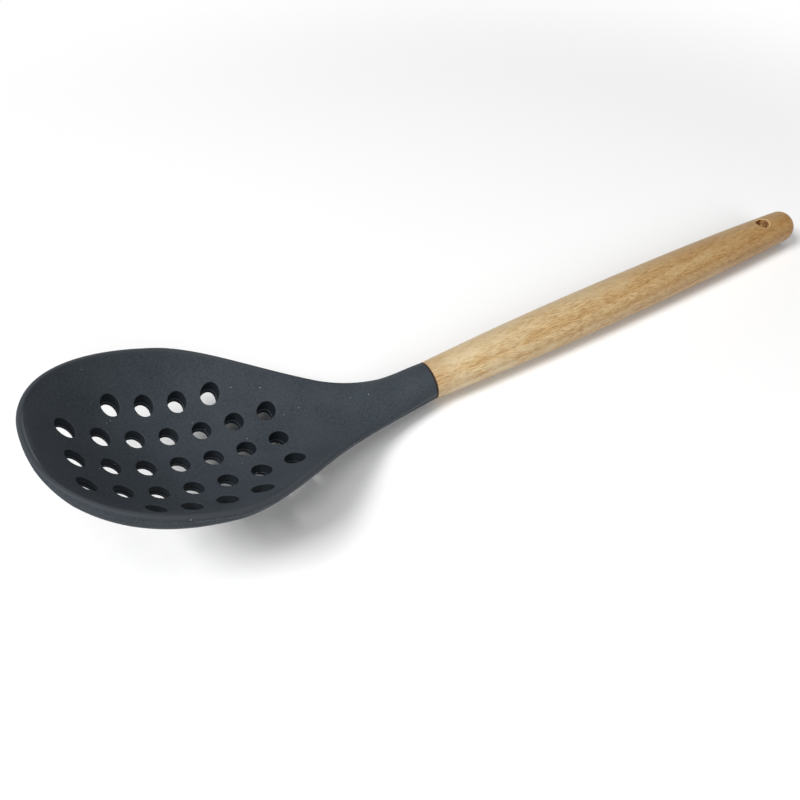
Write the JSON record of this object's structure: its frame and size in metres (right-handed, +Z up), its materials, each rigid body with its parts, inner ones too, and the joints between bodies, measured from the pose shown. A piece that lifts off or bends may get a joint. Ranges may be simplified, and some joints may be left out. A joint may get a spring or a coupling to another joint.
{
  "type": "skimmer",
  "caption": "Kitchen skimmer with a perforated oval silicone dish, moulded over a stiff core, on a turned wooden handle with a hanging hole near its end.",
  "frame": {"origin": "on the table under the middle of the whole skimmer, which lies on its handle with the dish up", "axes": "+X along the handle's axis from the dish to the butt, +Y across the dish, +Z up out of the dish"},
  "size_m": [0.366, 0.0876, 0.0673],
  "materials": {
    "silicone": "matt moulded silicone rubber, dark slate grey",
    "nylon": "moulded black nylon, sealed inside the silicone and the handle",
    "wood": "turned and sanded pale hardwood with a light satin oil",
    "epoxy": "cured amber epoxy glue in the handle's bore"
  },
  "bodies": {
    "root": {"silicone_head": "silicone", "nylon_core": "nylon", "wooden_handle": "wood", "epoxy_bond": "epoxy"}
  },
  "joints": []
}
